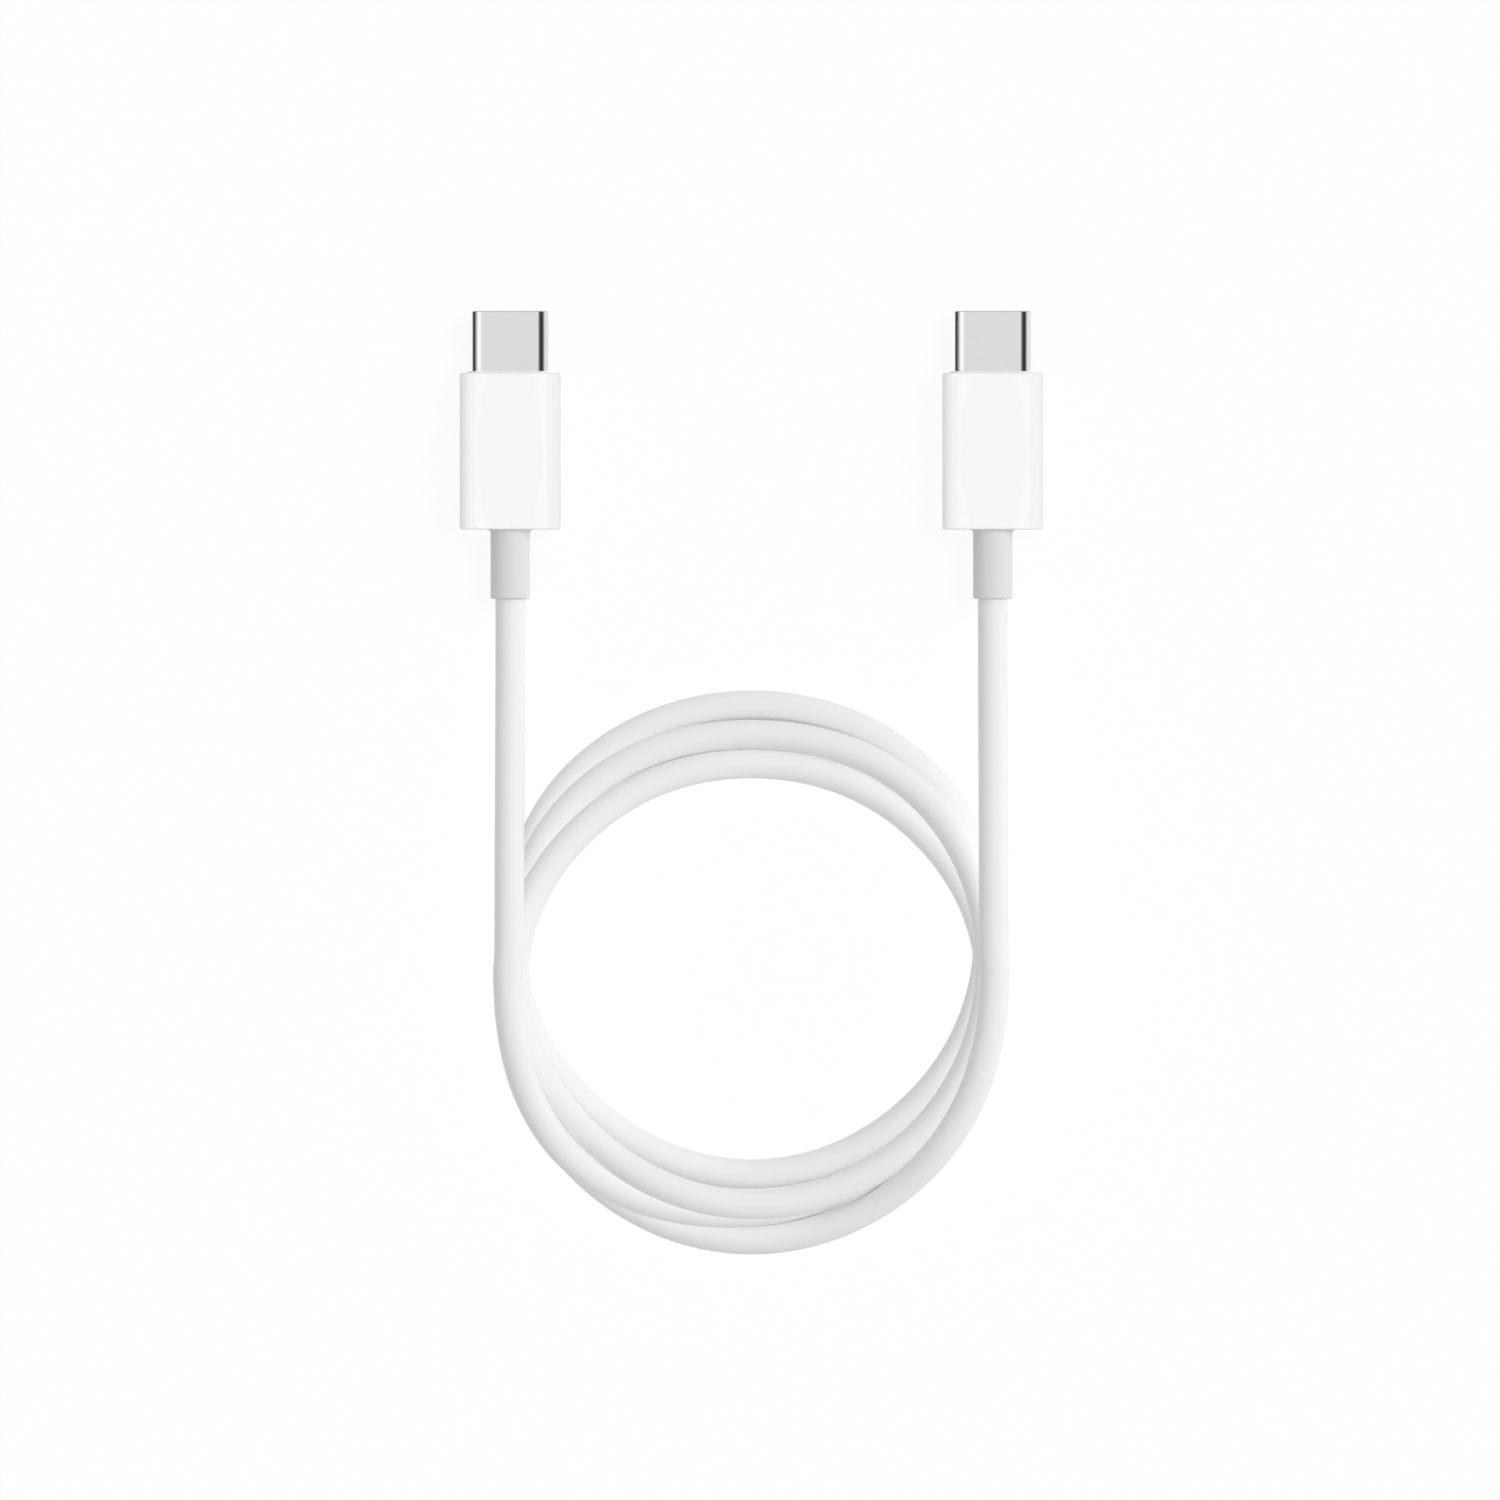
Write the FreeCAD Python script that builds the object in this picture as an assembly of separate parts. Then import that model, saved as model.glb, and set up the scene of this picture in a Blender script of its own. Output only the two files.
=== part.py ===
import FreeCAD, Part
import math
import os

V = FreeCAD.Vector

# A charging cable with a plug at each end, coiled and lying flat. Millimetres.
# X runs from the left plug to the right one, +Y points out of the plugs' mouths, Z is up.
# Z = 0 is the surface that the cable lies on, and the origin is midway between the plugs.
# Each plug is sized from the inside out: contacts, insulator, shell, covers, mould, housing.

# Clearances
fit_gap = 0.03               # a piece pushed into another
insert_gap = 0.10            # plastic inserts end to end
wire_gap = 0.04
flex_gap = 0.02              # bending line, modelled as a gap between sprung and held end

# Contacts: stamped strips, numbered 1 to 12 across each row
contact_pitch = 0.50
contact_width = 0.24
contact_thickness = 0.15
contact_slot_gap = 0.04      # each side of a contact in its slot
contact_bump_height = 0.30   # strip's middle above the plug's middle plane, at the bump
contact_bump_length = 0.36
contact_nose = 0.37          # bump to the strip's tip
contact_nose_lift = 0.18
upper_columns = (1, 4, 5, 6, 7, 9, 12)
lower_columns = (1, 4, 5, 9, 12)
column_count = 12

# Plastic ring inside the shell, which the socket's tongue enters
tongue_slot_side = 0.725     # outermost contact's middle to the slot's end
tongue_slot_height = 0.84
tongue_slot_round = 0.15
insulator_side_wall = 0.32
insulator_top_wall = 0.45
insulator_setback = 0.15     # shell rim to the insulator's face
insulator_stop = 1.10        # insulator's back to the housing's front
band_length = 1.05           # closed front band ahead of the contact slots
nose_room = 0.25             # band to the contacts' tips

# Plug shell
shell_wall = 0.30
shell_reach = 6.70           # bare shell in front of the housing
mouth_round = 0.12           # rounding of the shell's rim

# Side springs that hold the plug in its socket
latch_thickness = 0.20
latch_height = 0.60
latch_inset = 0.025          # strip's middle in from the tongue slot's end
latch_hook_depth = 0.23
latch_hook_length = 0.50     # hook to the strip's tip
latch_tip_inset = 0.10
latch_play = 0.05            # above and below the strip

# Ground springs: a strip with fingers, in a recess behind the shell's rim
ground_setback = 0.35        # insulator face to the strip
ground_length = 0.55
ground_thickness = 0.10
finger_width = 0.80
finger_margin = 0.10         # strip's end to the outer finger
finger_count = 4
finger_proud = 0.05          # finger tip below the tongue slot's wall

# Contact carriers
carrier_length = 3.00
carrier_seam = 0.02          # each carrier to the middle plane
anchor_cover = 0.80          # carrier behind the side springs' held ends

# Circuit board and what is on it
board_thickness = 0.80
board_gap = 0.05             # carriers to board
neck_side_gap = 0.24         # board's neck to the shell's bore
board_side_gap = 0.06        # board to the covers
tail_on_board = 1.60
solder_length = 0.35
solder_height = 0.12
chip_size = 2.00
chip_height = 0.60
chip_edge = 0.06
chip_gap = 0.50              # contacts' solder to the chip
capacitor_length = 0.60
capacitor_width = 0.30
capacitor_gap = 1.25         # chip to capacitor
shell_gap = 0.45             # shell's rear end to the chip
pad_gap = 0.70               # chip to the wires' pads

# Cable and its wires
cable_dia = 3.20
power_wire_dia = 0.90
data_wire_dia = 0.50
cc_wire_dia = 0.45
conductor_share = 0.55       # bare conductor's diameter over its wire's
bare_length = 0.70
wire_on_board = 1.20         # insulated wire on the board
wire_overhang = 0.80         # board to the wires' bends
wire_spread = 0.75           # the bends to the place where the wires come together
power_pad_offset = 1.60
data_pad_offset = 0.90

# Metal covers over the board
can_wall = 0.20
can_side_gap = 0.05          # shell to covers, at the sides
can_top_gap = 0.20           # shell to covers, above and below
wire_room = 0.10             # wires to covers
can_overlap = 2.50           # covers over the shell's rear end
can_rear_gap = 2.40          # board to the covers' rear end
can_round = 0.60
can_seam = 0.01              # each cover to the middle plane

# Braid and crimp
braid_thickness = 0.10
crimp_wall = 0.20
crimp_length = 2.40
crimp_flange = 0.25
crimp_tail = 0.25            # crimp behind the folded braid
fold_gap = 0.17              # crimp's flange to the folded braid

# Housing and its filler
mould_side_wall = 0.475      # covers to the housing's bore
mould_top_wall = 0.20        # crimp to the housing's bore
housing_wall = 0.60
housing_rear_wall = 1.30
housing_side_round = 1.90
housing_end_round = 0.22
nose_lip = 0.18              # filler in front of the housing
nose_step = 0.30             # lip's edge to the housing's bore

# Strain relief
relief_wall = 0.525
relief_reach = 7.50          # bare relief behind the housing
relief_flange_step = 1.25    # flange's side to the housing's bore
relief_flange_length = 1.62
relief_edge_round = 0.20
relief_flare = 0.45          # fillet where the relief leaves the housing

# Cable's route
plug_spacing = 52.14
lead_reach = 40.10           # strain reliefs to the coil's middle
lead_flat = 10.50            # lead leaves its plug level for this far
lead_rise = 18.10            # and climbs to the top of the coil over this distance
coil_entry = 1.00            # coil's tube starts this far ahead of the coil's middle
coil_gap = 0.50              # between stacked turns
turn_count = 3
top_reach = 28.65            # coil's middle to the outermost turn on the plugs' side
bottom_reach = 29.35         # and on the far side
measure_step = 0.50          # spacing of the points that gaps are measured on

# Sections
tongue_slot_width = (column_count - 1) * contact_pitch + 2 * tongue_slot_side
insert_width = tongue_slot_width + 2 * insulator_side_wall
insert_height = tongue_slot_height + 2 * insulator_top_wall
shell_bore_width = insert_width + 2 * fit_gap
shell_bore_height = insert_height + 2 * fit_gap
shell_width = shell_bore_width + 2 * shell_wall
shell_height = shell_bore_height + 2 * shell_wall
latch_place = tongue_slot_width / 2 - latch_inset
board_top = board_thickness / 2
contact_rest = board_top + contact_thickness / 2
can_bore_width = shell_width + 2 * can_side_gap
can_bore_height = max(shell_height + 2 * can_top_gap,
                      board_thickness + 2 * (power_wire_dia + wire_room))
can_width = can_bore_width + 2 * can_wall
can_height = can_bore_height + 2 * can_wall
braid_dia = cable_dia + 2 * braid_thickness
crimp_dia = braid_dia + 2 * crimp_wall
relief_dia = cable_dia + 2 * relief_wall
bore_width = can_width + 2 * mould_side_wall
bore_height = max(can_height, crimp_dia) + 2 * mould_top_wall
bore_round = housing_side_round - housing_wall
housing_width = bore_width + 2 * housing_wall
housing_thickness = bore_height + 2 * housing_wall
axis_height = housing_thickness / 2

# Places along the plug, as depths behind the shell's rim
band_back = insulator_setback + band_length
insulator_back = shell_reach - insulator_stop
carrier_front = insulator_back + insert_gap
flex_depth = carrier_front + flex_gap
carrier_back = carrier_front + carrier_length
board_front = carrier_back + board_gap
tail_end = carrier_back + tail_on_board
chip_front = tail_end + solder_length + chip_gap
shell_length = chip_front - shell_gap
bare_front = chip_front + chip_size + pad_gap
insulation_front = bare_front + bare_length
board_back = insulation_front + wire_on_board
can_front = shell_length - can_overlap
can_back = board_back + can_rear_gap
crimp_front = can_back + fit_gap
crimp_back = crimp_front + crimp_length
fold_front = crimp_front + crimp_flange + fold_gap
jacket_front = fold_front + braid_thickness
flange_front = crimp_back + insert_gap
flange_back = flange_front + relief_flange_length
housing_back = flange_back + housing_rear_wall
relief_back = housing_back + relief_reach
rim_y = relief_back / 2
relief_end_y = rim_y - relief_back


def at(depth):
    """Y of a place that lies so far behind the shell's rim."""
    return rim_y - depth


def slab(x0, x1, d0, d1, z0, z1):
    """Box between two depths, with its two heights measured from the plug's axis."""
    low = min(z0, z1)
    return Part.makeBox(x1 - x0, d1 - d0, abs(z1 - z0), V(x0, at(d1), axis_height + low))


def rounded(width, height, radius, d0, d1):
    """Prism along the plug with rounded corners, centred on its axis."""
    radius = min(radius, height / 2)
    flat_x = width / 2 - radius
    flat_z = height / 2 - radius
    bow = radius * math.sqrt(0.5)

    def corner(x, z):
        return V(x, at(d1), axis_height + z)

    arcs = []
    for sx, sz in ((1, 1), (-1, 1), (-1, -1), (1, -1)):
        side = corner(sx * width / 2, sz * flat_z)
        middle = corner(sx * (flat_x + bow), sz * (flat_z + bow))
        cap = corner(sx * flat_x, sz * height / 2)
        ends = (side, cap) if sx == sz else (cap, side)
        arcs.append((ends[0], middle, ends[1]))
    edges = []
    for i, (start, middle, end) in enumerate(arcs):
        edges.append(Part.Arc(start, middle, end).toShape())
        following = arcs[(i + 1) % len(arcs)][0]
        if end.distanceToPoint(following) > 1e-6:
            edges.append(Part.makeLine(end, following))
    return Part.Face(Part.Wire(edges)).extrude(V(0, d1 - d0, 0))


def pill(width, height, d0, d1):
    """Prism along the plug with fully round sides."""
    return rounded(width, height, height / 2, d0, d1)


def rod(dia, d0, d1, x=0.0, z=0.0):
    """Round bar along the plug, at a place measured from its axis."""
    return Part.makeCylinder(dia / 2, d1 - d0, V(x, at(d1), axis_height + z), V(0, 1, 0))


def edges_at(shape, depth):
    """Edges of a shape that lie flat at one depth."""
    y = at(depth)
    return [e for e in shape.Edges if abs(e.BoundBox.YMin - y) + abs(e.BoundBox.YMax - y) < 1e-5]


def strip_side(route, thickness, width, x):
    """Flat strip bent up and down: the route's points are depths and heights of its middle."""
    upper = [V(x - width / 2, at(d), axis_height + z + thickness / 2) for d, z in route]
    lower = [V(x - width / 2, at(d), axis_height + z - thickness / 2) for d, z in route]
    outline = upper + lower[::-1]
    return Part.Face(Part.makePolygon(outline + outline[:1])).extrude(V(width, 0, 0))


def strip_plan(route, thickness, height):
    """Flat strip bent sideways: the route's points are depths and sideways places."""
    far = [V(x + thickness / 2, at(d), axis_height - height / 2) for d, x in route]
    near = [V(x - thickness / 2, at(d), axis_height - height / 2) for d, x in route]
    outline = far + near[::-1]
    return Part.Face(Part.makePolygon(outline + outline[:1])).extrude(V(0, 0, height))


def contact_places():
    """Each contact as its row's sign, upper +1 or lower -1, and its sideways place."""
    middle = (column_count + 1) / 2
    for sign, columns in ((1, upper_columns), (-1, lower_columns)):
        for column in columns:
            yield sign, sign * (column - middle) * contact_pitch


def contact_row(row):
    """Sprung ends of one row, from the bending line to the tips."""
    tip = band_back + nose_room
    bump_front = tip + contact_nose
    bump_back = bump_front + contact_bump_length
    route = [(flex_depth - flex_gap, row * contact_rest),
             (bump_back, row * contact_bump_height),
             (bump_front, row * contact_bump_height),
             (tip, row * (contact_bump_height + contact_nose_lift))]
    strips = [strip_side(route, contact_thickness, contact_width, x)
              for sign, x in contact_places() if sign == row]
    return Part.makeCompound(strips)


def contact_tails():
    """Held ends of both rows, through the carriers and onto the board."""
    tails = []
    for sign, x in contact_places():
        route = [(flex_depth, sign * contact_rest), (tail_end, sign * contact_rest)]
        tails.append(strip_side(route, contact_thickness, contact_width, x))
    return Part.makeCompound(tails)


def latch_arm(side):
    tip = band_back + nose_room
    hook = tip + latch_hook_length
    route = [(flex_depth - flex_gap, side * latch_place),
             (hook + 2 * latch_hook_depth, side * latch_place),
             (hook, side * (latch_place - latch_hook_depth)),
             (tip, side * (latch_place - latch_tip_inset))]
    return strip_plan(route, latch_thickness, latch_height)


def latch_anchors():
    anchor_end = carrier_back - anchor_cover
    anchors = []
    for x in (-latch_place, latch_place):
        anchors.append(strip_plan([(flex_depth, x), (anchor_end, x)], latch_thickness, latch_height))
    return Part.makeCompound(anchors)


ground_front = insulator_setback + ground_setback
ground_back = ground_front + ground_length
ground_width = insert_width - insert_height


def finger_places():
    first = finger_margin + finger_width / 2 - ground_width / 2
    spacing = -2 * first / (finger_count - 1)
    return [first + i * spacing for i in range(finger_count)]


def ground_spring(sign):
    outer = insert_height / 2
    inner = outer - ground_thickness
    bend = (ground_front + ground_back) / 2
    spring = slab(-ground_width / 2, ground_width / 2, bend, ground_back, sign * inner, sign * outer)
    root = outer - ground_thickness / 2
    tip = tongue_slot_height / 2 - finger_proud + ground_thickness / 2
    route = [(bend, sign * root), (ground_front, sign * tip)]
    fingers = [strip_side(route, ground_thickness, finger_width, x) for x in finger_places()]
    return spring.fuse(fingers).removeSplitter()


def ground_recess(sign):
    """Room for one ground spring: its bed, and a window for each finger."""
    back = ground_back + fit_gap
    outer = sign * shell_height / 2
    bed = sign * (insert_height / 2 - ground_thickness)
    half = ground_width / 2 + fit_gap
    cuts = [slab(-half, half, ground_front, back, bed, outer)]
    for x in finger_places():
        half = finger_width / 2 + contact_slot_gap
        cuts.append(slab(x - half, x + half, ground_front, back, 0, outer))
    return cuts


def front_insulator():
    ring = pill(insert_width, insert_height, insulator_setback, insulator_back)
    cuts = [rounded(tongue_slot_width, tongue_slot_height, tongue_slot_round,
                    insulator_setback, insulator_back)]
    half = contact_width / 2 + contact_slot_gap
    for sign, x in contact_places():
        cuts.append(slab(x - half, x + half, band_back, insulator_back, 0, sign * shell_height / 2))
    window = latch_height / 2 + latch_play
    cuts.append(slab(-shell_width / 2, shell_width / 2, band_back, insulator_back, -window, window))
    return ring.cut(cuts + ground_recess(1) + ground_recess(-1))


def plug_shell():
    tube = pill(shell_width, shell_height, 0, shell_length)
    tube = tube.cut(pill(shell_bore_width, shell_bore_height, 0, shell_length))
    return tube.makeFillet(mouth_round, edges_at(tube, 0))


def carrier(sign):
    block = pill(insert_width, insert_height, flex_depth, carrier_back)
    half = slab(-shell_width, shell_width, flex_depth, carrier_back,
                sign * carrier_seam, sign * shell_height)
    return block.common(half).cut([contact_tails(), latch_anchors()])


def board():
    neck = shell_bore_width / 2 - neck_side_gap
    body = can_bore_width / 2 - board_side_gap
    shoulder = shell_length + board_gap
    narrow = slab(-neck, neck, board_front, shoulder, -board_top, board_top)
    wide = slab(-body, body, shoulder, board_back, -board_top, board_top)
    return narrow.fuse(wide).removeSplitter()


def marker_chip():
    top = board_top + chip_height
    half = chip_size / 2
    chip = slab(-half, half, chip_front, chip_front + chip_size, board_top, top)
    rim = [e for e in chip.Edges if e.BoundBox.ZMin > axis_height + top - 1e-5]
    return chip.makeChamfer(chip_edge, rim)


def bypass_capacitors():
    place = (chip_size + capacitor_width) / 2 + capacitor_gap
    half = capacitor_width / 2
    front = chip_front + (chip_size - capacitor_length) / 2
    blocks = []
    for x in (-place, place):
        blocks.append(slab(x - half, x + half, front, front + capacitor_length,
                           board_top, board_top + capacitor_width))
    return Part.makeCompound(blocks)


def wire_plan():
    """Each wire: its diameter, its place in the cable, and its place and side on the board.

    The power wires lie side by side, the data wires nest below them, the last one above.
    """
    power = power_wire_dia / 2
    data = data_wire_dia / 2
    cc = cc_wire_dia / 2
    power_x = power + wire_gap / 2
    data_x = data + wire_gap / 2
    data_z = -math.sqrt((power + data + wire_gap) ** 2 - (power_x - data_x) ** 2)
    cc_z = math.sqrt((power + cc + wire_gap) ** 2 - power_x ** 2)
    return {
        "vbus_wire": [(power_wire_dia, (-power_x, 0.0), -power_pad_offset, 1)],
        "ground_wire": [(power_wire_dia, (power_x, 0.0), power_pad_offset, 1)],
        "data_wires": [(data_wire_dia, (-data_x, data_z), -data_pad_offset, -1),
                       (data_wire_dia, (data_x, data_z), data_pad_offset, -1)],
        "cc_wire": [(cc_wire_dia, (0.0, cc_z), 0.0, 1)],
    }


def core_diameter():
    """Bore of the cable's jacket, just round its wires."""
    reach = [math.hypot(*place) + dia / 2 for plan in wire_plan().values() for dia, place, _, _ in plan]
    return 2 * (max(reach) + wire_gap)


core_dia = core_diameter()


def rounded_path(points):
    """Straight runs joined by arcs that touch them, as large as the shorter run allows."""
    edges = []
    radii = []
    here = points[0]
    for i in range(1, len(points) - 1):
        back = points[i - 1] - points[i]
        ahead = points[i + 1] - points[i]
        turn = math.pi - back.getAngle(ahead)
        trim = 0.45 * min(back.Length, ahead.Length)
        radius = trim / math.tan(turn / 2)
        back.normalize()
        ahead.normalize()
        start = points[i] + back * trim
        end = points[i] + ahead * trim
        inward = (back + ahead).normalize()
        middle = points[i] + inward * (radius / math.cos(turn / 2) - radius)
        edges.append(Part.LineSegment(here, start).toShape())
        edges.append(Part.Arc(start, middle, end).toShape())
        radii.append(radius)
        here = end
    edges.append(Part.LineSegment(here, points[-1]).toShape())
    return Part.Wire(edges), radii


def tube_on(path, dia):
    """Round tube along a path."""
    first = path.Edges[0]
    begin = first.FirstParameter
    circle = Part.Wire(Part.makeCircle(dia / 2, first.valueAt(begin), first.tangentAt(begin)))
    return path.makePipeShell([circle], True, False)


def wires(name):
    """Wires of one name, each from its bare end on the board to the cable's plug end."""
    shapes = []
    for dia, place, pad_x, side in wire_plan()[name]:
        pad_z = side * (board_top + dia / 2)
        bend = board_back + wire_overhang
        points = [V(pad_x, at(insulation_front), axis_height + pad_z),
                  V(pad_x, at(bend), axis_height + pad_z),
                  V(place[0], at(bend + wire_spread), axis_height + place[1]),
                  V(place[0], at(relief_back), axis_height + place[1])]
        insulated = tube_on(rounded_path(points)[0], dia)
        bare = rod(dia * conductor_share, bare_front, insulation_front, pad_x, pad_z)
        shapes.append(insulated.fuse(bare))
    return Part.makeCompound(shapes)


def solder_joints():
    """Solder behind each contact's tail and round each wire's bare end."""
    joints = []
    half = contact_width / 2
    for sign, x in contact_places():
        joints.append(slab(x - half, x + half, tail_end, tail_end + solder_length,
                           sign * board_top, sign * (board_top + solder_height)))
    for plan in wire_plan().values():
        for dia, _, pad_x, side in plan:
            pad_z = side * (board_top + dia / 2)
            lump = slab(pad_x - dia / 2, pad_x + dia / 2, bare_front, insulation_front,
                        side * board_top, pad_z)
            joints.append(lump.cut(rod(dia * conductor_share, bare_front, insulation_front, pad_x, pad_z)))
    return Part.makeCompound(joints)


def shield_can(sign):
    outer = rounded(can_width, can_height, can_round, can_front, can_back)
    inner = rounded(can_bore_width, can_bore_height, can_round - can_wall,
                    can_front + can_wall, can_back - can_wall)
    mouth = pill(shell_width, shell_height, can_front, shell_length)
    outlet = rod(core_dia, can_back - can_wall, can_back)
    half = slab(-can_width, can_width, can_front, can_back, sign * can_seam, sign * can_height)
    return outer.cut([inner, mouth, outlet]).common(half)


def crimp_ring():
    ring = rod(crimp_dia, crimp_front, crimp_back)
    bore = rod(braid_dia, crimp_front + crimp_flange, crimp_back)
    return ring.cut([bore, rod(core_dia, crimp_front, crimp_front + crimp_flange)])


def braid_end():
    """Braid folded back over the end of the jacket."""
    sleeve_back = crimp_back - crimp_tail
    sleeve = rod(braid_dia, fold_front, sleeve_back)
    return sleeve.cut([rod(cable_dia, jacket_front, sleeve_back), rod(core_dia, fold_front, jacket_front)])


def jacket_end():
    return rod(cable_dia, jacket_front, relief_back).cut(rod(core_dia, jacket_front, relief_back))


def inner_mould():
    """White filler round the covers and the crimp, with a low lip round the shell."""
    lip = rounded(bore_width - 2 * nose_step, bore_height - 2 * nose_step, bore_round,
                  shell_reach - nose_lip, shell_reach)
    body = rounded(bore_width - 2 * fit_gap, bore_height - 2 * fit_gap, bore_round - fit_gap,
                   shell_reach, crimp_back)
    holes = [pill(shell_width, shell_height, shell_reach - nose_lip, shell_length),
             rounded(can_width, can_height, can_round, can_front, can_back),
             rod(crimp_dia, can_back, crimp_back)]
    return body.fuse(lip).cut(holes)


def housing():
    block = rounded(housing_width, housing_thickness, housing_side_round, shell_reach, housing_back)
    block = block.makeFillet(housing_end_round,
                             edges_at(block, shell_reach) + edges_at(block, housing_back))
    bore = rounded(bore_width, bore_height, bore_round, shell_reach, flange_back)
    return block.cut([bore, rod(relief_dia + 2 * fit_gap, flange_back, housing_back)])


def strain_relief():
    """Soft sleeve with a flange that the housing's rear wall holds."""
    flange = rounded(bore_width - 2 * relief_flange_step, bore_height - 2 * fit_gap,
                     bore_round - fit_gap, flange_front, flange_back)
    sleeve = rod(relief_dia, flange_back, relief_back)
    sleeve = sleeve.makeFillet(relief_edge_round, edges_at(sleeve, relief_back))
    flare_out = relief_dia / 2 + relief_flare
    flare_back = housing_back + relief_flare
    bow = relief_flare * (1 - math.sqrt(0.5))
    foot = V(relief_dia / 2, at(housing_back), axis_height)
    out = V(flare_out, at(housing_back), axis_height)
    middle = V(relief_dia / 2 + bow, at(housing_back + bow), axis_height)
    end = V(relief_dia / 2, at(flare_back), axis_height)
    outline = Part.Wire([Part.makeLine(foot, out), Part.Arc(out, middle, end).toShape(),
                         Part.makeLine(end, foot)])
    flare = Part.Face(outline).revolve(V(0, 0, axis_height), V(0, 1, 0), 360)
    relief = flange.fuse([sleeve, flare]).removeSplitter()
    return relief.cut(rod(cable_dia, flange_front, relief_back))


# Coil: both leads come in over the top of the stack, and the turns fan out below them
turn_pitch = cable_dia + coil_gap
side_x = plug_spacing / 2
coil_y = relief_end_y - lead_reach


def level(count):
    """Height of the tube's middle on one level of the stack, counted from 1 at the bottom."""
    return cable_dia / 2 + (count - 1) * turn_pitch


lead_level = level(turn_count + 1)


def coil_node(x, y, z, heading, slope=0.0):
    """Place on the coil, with its heading in plan in degrees and its climb."""
    angle = math.radians(heading)
    direction = V(math.cos(angle), math.sin(angle), slope)
    return V(x, coil_y + y, z), direction.normalize()


def coil_nodes():
    """The coil's route from the left lead to the right one, a node for each quarter turn.

    Of the turns' crossings at the far side, one more node stands in the last quarter, where
    the first strand cuts in and the last one comes out round it. The steps between strands
    and their rises are in turn pitches, from the outermost strand and from the floor.
    """
    down, right, up, left = -90, 0, 90, 180
    floor = cable_dia / 2
    top_steps = (1.73, 0.895, 0.0)
    top_rises = (1.27, 0.757, 0.0)
    bottom_steps = (0.07, 1.103, 1.986)
    bottom_rises = (1.446, 0.667, 0.0)
    bottom_headings = (10.2, right, right)
    right_y = (-1.5, 3.1, 5.25)
    left_y = (0.6, 4.0, 5.29)
    right_tuck = (0.30, 0.10, 0.0)
    left_tuck = (0.20, 0.07, 0.0)
    side_lift = (0.0, 0.05, 0.0)
    lead_bend_y = -2.9
    crossing_in = 16.66
    crossing_out = 20.26
    nodes = [coil_node(-side_x, coil_entry, lead_level, down),
             coil_node(-side_x, lead_bend_y, lead_level, down)]
    for i in range(turn_count):
        side_z = level(turn_count - i) + side_lift[i]
        nodes.append(coil_node(0, bottom_steps[i] * turn_pitch - bottom_reach,
                               floor + bottom_rises[i] * turn_pitch, bottom_headings[i]))
        if i == 0:
            nodes.append(coil_node(crossing_in, -crossing_in, floor + 1.986 * turn_pitch, 51, 0.03))
        nodes.append(coil_node(side_x - right_tuck[i], right_y[i], side_z, up))
        nodes.append(coil_node(0, top_reach - top_steps[i] * turn_pitch,
                               floor + top_rises[i] * turn_pitch, left))
        nodes.append(coil_node(left_tuck[i] - side_x, left_y[i], side_z, down))
    nodes.append(coil_node(-side_x, lead_bend_y, floor, down))
    nodes.append(coil_node(0, -bottom_reach, floor + 0.376 * turn_pitch, right, 0.107))
    nodes.append(coil_node(crossing_out, -crossing_out, floor + 1.867 * turn_pitch, 45.9, 0.283))
    nodes.append(coil_node(side_x, lead_bend_y, lead_level, up))
    nodes.append(coil_node(side_x, coil_entry, lead_level, up))
    return nodes


def arc_from(start, direction, end):
    """Arc that leaves start along direction and reaches end, its radius and its last direction."""
    chord = end - start
    along = chord.dot(direction)
    aside = chord - direction * along
    radius = chord.Length ** 2 / (2 * aside.Length)
    angle = 2 * math.atan2(aside.Length, along)
    inward = aside.normalize()
    centre = start + inward * radius
    middle = centre - inward * (radius * math.cos(angle / 2)) + direction * (radius * math.sin(angle / 2))
    last = direction * math.cos(angle) + inward * math.sin(angle)
    return Part.Arc(start, middle, end).toShape(), radius, last


def biarc(first, second):
    """Two arcs from one node to the next that keep both nodes' directions."""
    start, start_direction = first
    end, end_direction = second
    chord = end - start
    spread = 2 * (1 - start_direction.dot(end_direction))
    lean = chord.dot(start_direction + end_direction)
    if spread < 1e-9:
        reach = chord.dot(chord) / (2 * lean)
    else:
        reach = (math.sqrt(lean * lean + spread * chord.dot(chord)) - lean) / spread
    joint = (start + end) * 0.5 + (start_direction - end_direction) * (reach / 2)
    arc_in, radius_in, joint_direction = arc_from(start, start_direction, joint)
    arc_out, radius_out, _ = arc_from(joint, joint_direction, end)
    return [arc_in, arc_out], [radius_in, radius_out]


def coil_path():
    nodes = coil_nodes()
    edges = []
    radii = []
    for first, second in zip(nodes, nodes[1:]):
        ahead = (second[0] - first[0]).normalize()
        if min(ahead.dot(first[1]), ahead.dot(second[1])) > 1 - 1e-9:
            edges.append(Part.makeLine(first[0], second[0]))
        else:
            arcs, arc_radii = biarc(first, second)
            edges += arcs
            radii += arc_radii
    return Part.Wire(edges), radii


def points_along(path):
    points = []
    for edge in path.OrderedEdges:
        points += edge.discretize(max(2, int(edge.Length / measure_step)) + 1)[:-1]
    return points


def least_gap_to_self(path):
    """Smallest gap of a tube to itself, between points that aren't neighbours on it."""
    points = points_along(path)
    apart = int(4 * cable_dia / measure_step)
    nearest = min(p.distanceToPoint(q) for i, p in enumerate(points) for q in points[i + apart:])
    return nearest - cable_dia


def report_tube(name, tube, path, radii):
    """Print what shows that a tube is sound: radii, and volume against section times length."""
    expected = path.Length * math.pi * cable_dia ** 2 / 4
    print(name, "length", round(path.Length, 1), "least radius", round(min(radii), 1),
          "volume", round(tube.Volume, 1), "section times length", round(expected, 1))


def cable_coil():
    path, radii = coil_path()
    tube = tube_on(path, cable_dia)
    report_tube("cable_coil", tube, path, radii)
    print("cable_coil least gap to itself", round(least_gap_to_self(path), 3))
    return tube


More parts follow.
